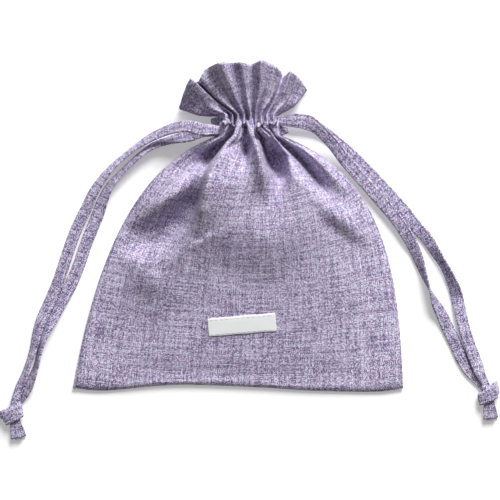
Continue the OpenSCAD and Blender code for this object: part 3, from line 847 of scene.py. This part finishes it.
# Creases worked into the front after the simulation, each led from the neck outwards. A point is
# (x, y, rise), a valley's rise is negative, and the two reaches are on its left and right hand
# as one goes along it, all in millimetres. The last number is 0 for a round top, 1 for a sharp one.
CREASES = (
    (((0, 56, 2), (-10, 47.3, 6), (-16.8, 34, 10), (-19.5, 23.2, 13), (-22, 10.5, 12), (-24.8, 0.9, 8),
      (-33.1, -13, 4), (-42, -24, 0)), 30, 4, 1),
    (((-19, 30, 0), (-22.5, 23, -10), (-26, 14, -15), (-31, 5, -10), (-42, -4, -4),
      (-56, -8, 0)), 4.5, 15, 0),
    (((-8.5, 51, -3), (-14, 43, -6), (-19, 34, -7), (-21.5, 28, -6), (-24, 21, -2)), 4, 6, 0),
    (((-7.2, 54.5, 1), (-28.9, 48, 4), (-48, 39, 3), (-60, 30, 0)), 7, 7, 0),
    (((-7, 50.5, -5), (-19, 43.5, -9), (-29, 37, -6), (-40, 31, -2), (-54, 23, 0)), 8, 9, 0),
    (((-19, 29, 2), (-32, 22.4, 8), (-45, 15.4, 7), (-61, 7, 2)), 12, 11, 0),
    (((-25, 6.9, -1), (-34.9, 0.9, -6), (-50, -6.3, -8), (-66, -9.9, -2)), 8, 14, 0),
    (((-31.3, -13, 2), (-44, -20, 4.4), (-56, -23, 4.4), (-69, -21, 2)), 40, 10, 0),
    (((-60, -20, 0.5), (-53, -32, 2), (-47, -44, 0)), 9, 14, 0),
    (((6.6, 56, -4), (5.4, 47, -12), (4.8, 41, -6), (4.5, 33, 0)), 4, 4, 0),
    (((8.4, 58, 2), (12, 46, 6), (15, 32.8, 7), (14.5, 20, 0)), 4, 8, 1),
    (((19, 50, 0), (20.5, 45, -11), (22.5, 39.5, -18), (24.5, 33, -19), (25, 25, -9), (22, 14, -2),
      (19, 4, 0)), 8, 9, 0),
    (((-9.6, 13, 1), (1.2, -0.9, 3.4), (16.9, -8.1, 5.2), (32.5, 0.9, 3.4), (44.6, 13, 1)), 22, 32, 0),
    (((18, 59, -2), (26, 50.5, -8), (38.5, 39, -14), (47.5, 28.5, -13), (56, 17, -3),
      (62, 10, 0)), 8, 10, 1),
    (((26, 56, 1), (44, 44, 4), (60, 28, 4), (72, 14, 0)), 8, 8, 0),
    (((50, 16, 1), (64.5, 2.7, 5), (80, -9.5, 1)), 13, 9, 0))
# Rounds of spreading the front's grid, and the shares of the body's length over which they fade out
# in the middle and, from SIDE_FROM on, at the sides
PLAN_ROUNDS = 40
PLAN_FADE = (0.75, 0.95)
SIDE_FADE = (0.9, 1.0)
SIDE_FROM = (0.45, 0.7)
# Rounds of fitting the weave's places to the front
WEAVE_ROUNDS = 600
# The weave's places for back and seams, well away from the front's
BACK_WEAVE = 0.4
SEAM_WEAVE = 0.3
# The back: how it rises to its seams, where it stops lying flat, the lowest points of both panels,
# and the room that the back and the seam allowances keep below what is near above them
BACK_ROUND = 4
BACK_FADE = (0.8, 0.98)
FRONT_LOW = 3.3 * MM
BACK_LOW = 0.9 * MM
BACK_GAP = 2.4 * MM
SEAM_GAP = 0.7 * MM
COVER_REACH = 5.0 * MM * COARSE
SEAM_COLUMNS = 3
SEAM_T = 0.4 * MM


def wave_line(knots, soft, steps=60):
    """Slopes from each knot to the next: straight where soft is 0, and rounded where it is 1."""
    share = np.linspace(0.0, 1.0, steps, endpoint=False)
    step_up = (1.0 - soft) * share + soft * (1.0 - np.cos(math.pi * share)) / 2
    runs = []
    for (t0, z0), (t1, z1) in zip(knots, knots[1:]):
        runs.append(np.stack([t0 + (t1 - t0) * share, z0 + (z1 - z0) * step_up], axis=1))
    return np.vstack(runs + [np.array(knots[-1:], float)])


def flat_grid():
    """Flat places of one panel's points: across from its middle, and up from its bottom."""
    body = np.linspace(0.0, SEAM_L, BODY_ROWS + 1)
    casing = SEAM_L + np.linspace(0.0, CASING_H, CASING_ROWS + 1)[1:]
    frill = SEAM_L + CASING_H + np.linspace(0.0, FRILL_H, FRILL_ROWS + 1)[1:]
    across = np.linspace(-PANEL_W / 2, PANEL_W / 2, COLUMNS + 1)
    return np.meshgrid(across, np.concatenate([body, casing, frill]))


def cut_width(up, front):
    """Width of a panel's cut at a height on it."""
    width = np.interp(up / SEAM_L, WAIST_AT, np.array(FRONT_W if front else BACK_W) * MM)
    above = np.clip((up - SEAM_L - CASING_H) / FRILL_H, 0.0, 1.0)
    return width + (FRILL_TOP_W - width) * above


def sewn_mask():
    """True for the points where the two panels are sewn together."""
    row, column = np.indices((ROWS + 1, COLUMNS + 1))
    at_side = (column == 0) | (column == COLUMNS)
    return (row == 0) | (at_side & (row <= BODY_ROWS))


def start_points(across, up, front):
    """One panel cut to shape and laid out flat, the front crowned where its folds will be."""
    share = np.minimum(1.0, up / SEAM_L)
    crown = 1.0 - (across / (PANEL_W / 2)) ** 2
    x = across * cut_width(up, front) / PANEL_W
    y = BOTTOM_Y + up - (SEAM_L - (FRONT_MIDDLE if front else BACK_MIDDLE)) * crown * share
    if front:
        z = START_Z + START_CROWN * crown * np.sin(math.pi * share ** 2)
    else:
        z = START_Z - START_SAG * crown
    z[up > SEAM_L + EDGE] = FRONT_START if front else BACK_START
    z[sewn_mask()] = START_Z
    return np.stack([x, y, z], axis=-1)


def cut_area(front):
    """Area of one panel's flat cut."""
    points = start_points(*flat_grid(), front)[..., :2]
    one_way = points[1:, 1:] - points[:-1, :-1]
    other_way = points[1:, :-1] - points[:-1, 1:]
    crossed = one_way[..., 0] * other_way[..., 1] - one_way[..., 1] * other_way[..., 0]
    return float(np.abs(crossed).sum() / 2)


def pleated_casing(width):
    """The casing's line across the neck, drawn up into pleats from that width of cloth."""
    edges = np.concatenate([[0.0], np.cumsum(PLEATS)]) / sum(PLEATS)
    knots = []
    for left, right, rise in zip(edges, edges[1:], PLEAT_RISE):
        knots += [(left, -0.5), ((left + right) / 2, rise - 0.5)]
    shape = wave_line(knots + [(1.0, -0.5)], 1.0)
    shallow, deep = 0.0, DEEPEST_PLEAT
    for _ in range(PLEAT_ROUNDS):
        depth = (shallow + deep) / 2
        line = np.stack([PLEATS_LEFT + PLEATS_W * shape[:, 0], np.zeros(len(shape)),
                         depth * shape[:, 1]], axis=1)
        if lengths(line)[-1] < width:
            shallow = depth
        else:
            deep = depth
    return even(line, COLUMNS + 1)


def frill_edge(waves, soft):
    """The frill's top edge, its plan with ridges and valleys, and each point's share along the plan."""
    plan = even(spline(FRILL_TOP), FRILL_POINTS, along=2) * MM
    shape = wave_line(waves, soft)
    share = np.linspace(0.0, 1.0, len(plan))
    x = np.interp(shape[:, 0], share, plan[:, 0])
    y = np.interp(shape[:, 0], share, plan[:, 1])
    edge = even(np.stack([x, y, shape[:, 1] * MM, shape[:, 0]], axis=1), COLUMNS + 1)
    return edge[:, :3], edge[:, 3]


def folded_row(share, left, right):
    """The front's line across at a share of the side seams, over its main folds."""
    middle_y = BOTTOM_Y + (NECK_Y - BOTTOM_Y) * share
    fold_y = -np.array(FOLD_Y) * MM
    knots = [left]
    for places, heights in FOLDS:
        y = middle_y
        for _ in range(FOLD_ROUNDS):
            x = np.interp(-y, fold_y, places) * MM
            side = left if x < 0.0 else right
            y = middle_y + (side[1] - middle_y) * (x / side[0]) ** 2
        knots.append(np.array([x, y, np.interp(-y, fold_y, heights) * MM]))
    knots.append(right)
    slopes = [np.linspace(a, b, FOLD_POINTS, endpoint=False) for a, b in zip(knots, knots[1:])]
    return even(np.vstack(slopes + [right]), COLUMNS + 1)


def seam_line(corners):
    """A side seam as it lies, rising to the casing near the neck."""
    plan = bezier(corners) * MM
    share = lengths(plan) / lengths(plan)[-1]
    z = SEAM_LOW + (SEAM_HIGH - SEAM_LOW) * eased(*SEAM_RISE, share)
    return even(np.column_stack([plan, z]), BODY_ROWS + 1)


def drawn_up_points(start, up, front):
    """Where the held points go when the neck is drawn up, and how firmly each is held."""
    goal = start.copy()
    hold = np.zeros(start.shape[:2])
    left, right = seam_line(LEFT_SEAM), seam_line(RIGHT_SEAM)
    if front:
        for row in range(BODY_ROWS + 1):
            share = row / BODY_ROWS
            middle_y = BOTTOM_Y + (NECK_Y - BOTTOM_Y) * share
            hold[row] = FOLD_HOLD * eased(*FOLD_FADE, middle_y)
            if hold[row, 0] > 0.0:
                goal[row] = folded_row(share, left[row], right[row])
    casing = pleated_casing(cut_width(SEAM_L, front))
    casing += np.array([0.0, NECK_Y + CASING_H, CASING_FRONT_Z if front else CASING_BACK_Z])
    edge, place = frill_edge(FRONT_WAVES, FRONT_SOFT) if front else frill_edge(BACK_WAVES, BACK_SOFT)
    to_end = np.abs(2.0 * place - 1.0) ** ROOT_POWER
    root_x = PLEATS_LEFT - ROOT_OUT + (PLEATS_W + 2 * ROOT_OUT) * place
    root_z = np.full(len(place), casing[:, 2].mean())
    root = np.stack([root_x, casing[:, 1] - ROOT_DROOP * to_end, root_z], axis=1)
    for row in range(BODY_ROWS + (LOOSE_ROWS if front else 0), ROWS + 1):
        above = up[row, 0] - SEAM_L - CASING_H
        if above < EDGE:
            goal[row] = casing + np.array([0.0, above, 0.0])
            hold[row] = 1.0
        else:
            share = above / FRILL_H
            near_root = 1.0 - eased(0.0, ROOT_FADE, share)
            goal[row] = root + (edge - root) * share + (casing - root) * near_root
            hold[row] = FRILL_GOAL
        goal[row, :, 2] = np.maximum(FRILL_BASE, goal[row, :, 2])
    for column, seam in ((0, left), (COLUMNS, right)):
        goal[:BODY_ROWS + 1, column] = seam
        hold[:BODY_ROWS + 1, column] = 1.0
    goal[0, :, :2] = even(spline(BOTTOM_EDGE), COLUMNS + 1, along=2) * MM
    goal[0, :, 2] = SEAM_LOW
    hold[0] = 1.0
    return goal, hold


def add_collider(name, points, faces, friction):
    """Something that the simulated cloth can't pass."""
    collider = mesh_piece(name, None, np.asarray(points) * SIM, faces)
    collider.modifiers.new("collision", "COLLISION")
    collider.collision.thickness_outer = CONTACT_GAP
    collider.collision.cloth_friction = friction
    return collider


def add_filling():
    """A soft mound inside the pouch, which rises while the neck is drawn up."""
    left = bezier(LEFT_SEAM, FILLING_POINTS) * MM
    right = bezier(RIGHT_SEAM, FILLING_POINTS) * MM
    from_middle = np.linspace(-1.0, 1.0, FILLING_POINTS)
    across = (0.5 + FILLING_HALF * from_middle)[None, :, None]
    plan = left[:, None, :] + (right - left)[:, None, :] * across
    high = FILLING_H * np.interp(np.linspace(0.0, 1.0, FILLING_POINTS), FILLING_AT, FILLING)
    z = FILLING_Z + high[:, None] * (1.0 - np.abs(from_middle) ** FILLING_ROUND)[None, :]
    points = np.concatenate([plan, z[..., None]], axis=-1).reshape(-1, 3)
    faces = grid_faces(FILLING_POINTS, FILLING_POINTS)
    filling = add_collider("filling", points, faces, FILLING_FRICTION)
    filling.collision.use_culling = True
    for height, when in ((FILLING_FLAT, 1), (1.0, FILLING_FRAMES)):
        filling.scale.z = height
        filling.keyframe_insert("scale", frame=when)
    return filling


def set_cloth(cloth):
    """Soft linen, held at its seams and casing, with a little pressure inside."""
    modifier = cloth.modifiers.new("cloth", "CLOTH")
    for name, value in CLOTH_SETTINGS.items():
        setattr(modifier.settings, name, value)
    modifier.settings.effector_weights.gravity = GRAVITY
    for name, value in CONTACT_SETTINGS.items():
        setattr(modifier.collision_settings, name, value)
    modifier.point_cache.frame_start = 1
    modifier.point_cache.frame_end = LAST_FRAME


def simulate_pouch():
    """Points of the front and back panels as they settle, and their places on the flat cloth."""
    across, up = flat_grid()
    sewn = sewn_mask()
    numbers, starts, goals, holds, fills = [], [], [], [], []
    count = 0
    for front in (True, False):
        start = start_points(across, up, front)
        goal, hold = drawn_up_points(start, up, front)
        fill = FILL_LOW + (1.0 - FILL_LOW) * eased(*FILL_RISE, up / SEAM_L)
        fill[up > SEAM_L + EDGE] = 0.0
        own = np.ones_like(sewn) if front else ~sewn
        number = numbers[0].copy() if numbers else np.zeros(sewn.shape, int)
        number[own] = count + np.arange(own.sum())
        count += int(own.sum())
        numbers.append(number)
        for block, values in ((starts, start), (goals, goal), (holds, hold), (fills, fill)):
            block.append(values[own])
    start, goal = np.vstack(starts) * SIM, np.vstack(goals) * SIM
    hold, fill = np.concatenate(holds), np.concatenate(fills)
    faces = []
    for number, turned in zip(numbers, (False, True)):
        for face in grid_faces(ROWS + 1, COLUMNS + 1):
            corners = [int(number.flat[corner]) for corner in face]
            faces.append(corners[::-1] if turned else corners)
    cloth = mesh_piece("sewn cloth", None, start, faces)
    held = cloth.vertex_groups.new(name="held")
    filled = cloth.vertex_groups.new(name="filled")
    for index, (hold_share, fill_share) in enumerate(zip(hold.tolist(), fill.tolist())):
        if hold_share > 0.0:
            held.add([index], hold_share, "REPLACE")
        filled.add([index], fill_share, "REPLACE")
    cloth.shape_key_add(name="flat")
    drawn = cloth.shape_key_add(name="drawn up")
    moved = np.where(hold[:, None] > 0.0, goal, start)
    drawn.data.foreach_set("co", moved.astype(np.float32).ravel())
    for value, when in ((0.0, 1), (1.0, GATHER_FRAMES)):
        drawn.value = value
        drawn.keyframe_insert("value", frame=when)
    table = add_collider("table", square(TABLE_HALF, TABLE_Z), [(0, 1, 2, 3)], TABLE_FRICTION)
    helpers = [cloth, table, add_filling()]
    set_cloth(cloth)
    scene = bpy.context.scene
    for when in range(1, LAST_FRAME + 1):
        scene.frame_set(when)
    settled = cloth.evaluated_get(bpy.context.evaluated_depsgraph_get()).to_mesh()
    points = np.empty(len(settled.vertices) * 3, np.float32)
    settled.vertices.foreach_get("co", points)
    points = points.reshape(-1, 3).astype(float) / SIM
    for helper in helpers:
        bpy.data.objects.remove(helper)
    for action in list(bpy.data.actions):
        bpy.data.actions.remove(action)
    scene.frame_set(1)
    flats = []
    for front in (True, False):
        flats.append(np.stack([across * np.sqrt(cut_width(up, front) / PANEL_W), up], axis=-1))
    return points[numbers[0]], points[numbers[1]], flats[0], flats[1] + np.array([0.0, BACK_WEAVE])


def apply_modifiers(piece):
    """The piece's mesh as its modifiers leave it."""
    graph = bpy.context.evaluated_depsgraph_get()
    mesh = bpy.data.meshes.new_from_object(piece.evaluated_get(graph))
    piece.modifiers.clear()
    piece.data = mesh
    mesh.polygons.foreach_set("use_smooth", [True] * len(mesh.polygons))


def cloth_piece(name, points, flat, thick, material, turned=False, finer_by=1):
    """A grid of points as smooth cloth, thickened to its inner side."""
    faces = grid_faces(*points.shape[:2])
    if turned:
        faces = [face[::-1] for face in faces]
    piece = mesh_piece(name, material, points.reshape(-1, 3), faces, flat.reshape(-1, 2))
    subdivision = piece.modifiers.new("smooth", "SUBSURF")
    subdivision.levels = finer_by
    subdivision.render_levels = finer_by
    shell = piece.modifiers.new("thickness", "SOLIDIFY")
    shell.thickness = thick
    shell.offset = -1.0
    apply_modifiers(piece)
    return piece


def finer(points):
    """The same surface with a point added between every two."""
    for _ in range(2):
        rows, columns, size = points.shape
        points = spline(points.reshape(rows, -1), 2).reshape(-1, columns, size).swapaxes(0, 1)
    return points


def crease_rise(x, y, crease):
    """How much one crease lifts each place."""
    points, left_reach, right_reach, sharp = crease
    line = even(spline(points), CREASE_POINTS, along=2)
    offset = np.stack([x, y], axis=-1)[..., None, :] - line[:, :2]
    nearest = np.linalg.norm(offset, axis=-1).argmin(axis=-1)
    offset = np.take_along_axis(offset, nearest[..., None, None], axis=-2)[..., 0, :]
    ahead = headings(line[:, :2])[nearest]
    on_left = ahead[..., 0] * offset[..., 1] - ahead[..., 1] * offset[..., 0] > 0.0
    reach = np.where(on_left, left_reach, right_reach)
    share = np.clip(1.0 - np.linalg.norm(offset, axis=-1) / reach, 0.0, 1.0)
    return line[nearest, 2] * (sharp * share ** CREASE_SHARP + (1 - sharp) * eased(0.0, 1.0, share))


def grid_shares(points):
    """Each row's share of the body's length, up to 1, and each column's distance from the middle."""
    rows, columns = points.shape[:2]
    share = np.clip(np.arange(rows) * (ROWS / BODY_ROWS) / (rows - 1), 0.0, 1.0)[:, None]
    return share, np.abs(np.linspace(-1.0, 1.0, columns))[None, :]


def seam_heights(points):
    """Mean height of the two side edges at each row."""
    return (points[:, :1, 2] + points[:, -1:, 2]) / 2


def work_creases(points):
    """The simulated front with its filling evened out and its creases worked in."""
    share, from_middle = grid_shares(points)
    crown = 1.0 - from_middle ** PILLOW_ROUND
    pillow = seam_heights(points) + np.interp(share, PILLOW_AT, PILLOW) * MM * crown
    inside = (1.0 - eased(*SEAM_FADE, from_middle)) * eased(*BOTTOM_FADE, share)
    hold = PILLOW_HOLD * (1.0 - eased(*PILLOW_FADE, share))
    worked = points.copy()
    worked[..., 2] += hold * (pillow - points[..., 2])
    x, y = points[..., 0] / MM, points[..., 1] / MM
    rise = sum(crease_rise(x, y, crease) for crease in CREASES) * MM
    worked[..., 2] += rise * inside * (1.0 - eased(*CREASE_FADE, share))
    worked[..., 2] = np.maximum(worked[..., 2], np.minimum(points[..., 2], FRONT_LOW))
    return worked


def even_plan(points):
    """The simulated front with its grid spread evenly over the table, up to the neck."""
    spread = points.copy()
    share, from_middle = grid_shares(points)
    at_side = eased(*SIDE_FROM, from_middle)
    hold = 1.0 - eased(*PLAN_FADE, share) * (1.0 - at_side) - eased(*SIDE_FADE, share) * at_side
    hold = hold[1:-1, 1:-1, None]
    for _ in range(PLAN_ROUNDS):
        near = (spread[:-2, 1:-1] + spread[2:, 1:-1] + spread[1:-1, :-2] + spread[1:-1, 2:]) / 4
        spread[1:-1, 1:-1, :2] += hold * (near - spread[1:-1, 1:-1])[..., :2]
    return spread


def woven_places(points, flat):
    """Each point's place on the flat cloth, with edges and diagonals as long as they are in space."""
    places = flat.copy()
    every, first, last = slice(None), slice(None, -1), slice(1, None)
    links = [((every, first), (every, last)), ((first, every), (last, every)),
             ((first, first), (last, last)), ((first, last), (last, first))]
    links = [(one, other, np.linalg.norm(points[other] - points[one], axis=2)) for one, other in links]
    for _ in range(WEAVE_ROUNDS):
        moves = np.zeros_like(places)
        for one, other, length in links:
            gap = places[other] - places[one]
            move = gap * (0.5 - 0.5 * length / np.linalg.norm(gap, axis=2))[..., None]
            moves[one] += move
            moves[other] -= move
        places += moves / len(links)
    return places


def set_frill(points, front):
    """The simulated panel with the frill's pleats pressed in."""
    across, up = flat_grid()
    goal = drawn_up_points(start_points(across, up, front), up, front)[0]
    frill = slice(BODY_ROWS + CASING_ROWS + 1, None)
    pressed = points.copy()
    pressed[frill] += FRILL_SET * (goal[frill] - points[frill])
    return pressed


def lay_flat(points):
    """The simulated back pressed on to the table by the filling, up to the neck."""
    share, from_middle = grid_shares(points)
    pressed = BACK_LOW + (seam_heights(points) - BACK_LOW) * from_middle ** BACK_ROUND
    laid = points.copy()
    laid[..., 2] += PILLOW_HOLD * (1.0 - eased(*BACK_FADE, share)) * (pressed - points[..., 2])
    return laid


def laid_under(points, cover, gap):
    """A lower layer kept a gap below the lowest near point of its cover, away from the seams."""
    kept = points.copy()
    places = cover.reshape(-1, 3)
    for row in kept[1:len(points) * BODY_ROWS // ROWS, 1:-1]:
        apart = np.linalg.norm(row[:, None, :2] - places[:, :2], axis=2)
        lowest = np.where(apart < COVER_REACH, places[:, 2], np.inf).min(axis=1)
        row[:, 2] = np.minimum(row[:, 2], np.maximum(lowest - gap, BACK_LOW))
    return kept


def make_cloth(material):
    """Both panels with their casings and frills, and the seams inside."""
    front, back, flat, back_flat = simulate_pouch()
    front = work_creases(finer(even_plan(set_frill(front, True))))
    back = laid_under(finer(lay_flat(set_frill(back, False))), front, BACK_GAP)
    places = woven_places(front, finer(flat))
    front_cloth = cloth_piece("front_cloth", front, places, CLOTH_T, material, finer_by=0)
    back_cloth = cloth_piece("back_cloth", back, finer(back_flat), CLOTH_T, material, True, 0)
    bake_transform(front_cloth)
    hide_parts("front_panel", "front_casing", "front_frill")
    fit(back_cloth, "pouch", "cloth", "back_panel", "back_casing", "back_frill")
    for sheet, is_front in ((front_cloth, True), (back_cloth, False)):
        round(cut_area(is_front), 4)
    lining = laid_under(front[::2, ::2], front, SEAM_GAP)
    body = slice(0, BODY_ROWS + 1)
    strips = (("left_seam_allowance", (body, slice(0, SEAM_COLUMNS)), "left_side_seam"),
              ("right_seam_allowance", (body, slice(-SEAM_COLUMNS, None)), "right_side_seam"),
              ("bottom_seam_allowance", (slice(0, 2), slice(1, -1)), "bottom_seam"))
    for name, part, node in strips:
        strip = cloth_piece(name, lining[part], back_flat[part] + SEAM_WEAVE, SEAM_T, material)
        fit(strip, "pouch", "cloth", node)
    return front_cloth


# Label
def surface_above(piece):
    """Gives the height of a piece's upper side at a place."""
    mesh = piece.data
    tree = BVHTree.FromPolygons([vertex.co for vertex in mesh.vertices],
                                [polygon.vertices for polygon in mesh.polygons])

    def height(x, y):
        hit = tree.ray_cast((x, y, 1.0), (0.0, 0.0, -1.0))[0]
        return hit.z

    return height


def on_label(across, along):
    """Places on the label, from its middle, as places on the table."""
    tilt = math.radians(LABEL_TILT)
    x = LABEL_AT[0] + across * math.cos(tilt) - along * math.sin(tilt)
    y = LABEL_AT[1] + across * math.sin(tilt) + along * math.cos(tilt)
    return x, y


def make_label(height, material, thread):
    """A bare white label, sewn along its upper and lower edges."""
    across, along = np.meshgrid(np.linspace(-LABEL_W / 2, LABEL_W / 2, LABEL_POINTS[0]),
                                np.linspace(-LABEL_H / 2, LABEL_H / 2, LABEL_POINTS[1]))
    to_end = np.abs(across) / (LABEL_W / 2)
    to_edge = np.abs(along) / (LABEL_H / 2)
    wavy = 1.0 + LABEL_WAVE * np.sin(across * LABEL_WAVES) * to_edge
    x, y = on_label(across, along * wavy)
    ground = np.array([height(*place) for place in zip(x.flat, y.flat)]).reshape(x.shape)
    crown = 1.0 - np.maximum(to_edge, LABEL_ENDS * to_end) ** LABEL_ROUND
    z = ground + LABEL_T + LABEL_CROWN * crown
    flat = np.stack([across, along], axis=-1)
    label = cloth_piece("blank_label", np.stack([x, y, z], axis=-1), flat, LABEL_T, material)
    fit(label, "pouch", "label", "label")
    lift = surface_above(label)
    share = np.linspace(0.0, 1.0, STITCH_POINTS)
    bow = THREAD_D * (STITCH_RISE * np.sin(math.pi * share) - STITCH_SINK)
    radius = THREAD_D / 2 * np.sqrt(np.sin(math.pi * (STITCH_TIP + (1.0 - 2 * STITCH_TIP) * share)))
    parts = []
    for row in (-STITCH_ROW, STITCH_ROW):
        for at in np.arange(-STITCH_END, STITCH_END - STITCH_L, STITCH_PITCH):
            x, y = on_label(at + share * STITCH_L, np.full(STITCH_POINTS, row))
            z = np.array([lift(*place) for place in zip(x, y)]) + bow
            parts.append(tube(np.stack([x, y, z], axis=1), radius))
    fit(mesh_piece("label_stitches", thread, *merged(parts)), "pouch", "thread", "label_stitching")


make_camera()
make_light()
make_floor()
CLOTH = woven("lavender weave", CLOTH_TONES)
TAPE = woven("drawstring weave", TAPE_TONES)
LABEL = ribbed_tape("label tape")
THREAD = twisted_thread("sewing thread")
make_drawstrings(TAPE)
FRONT_CLOTH = make_cloth(CLOTH)
make_label(surface_above(FRONT_CLOTH), LABEL, THREAD)

bpy.context.scene.view_settings.view_transform = "Standard"
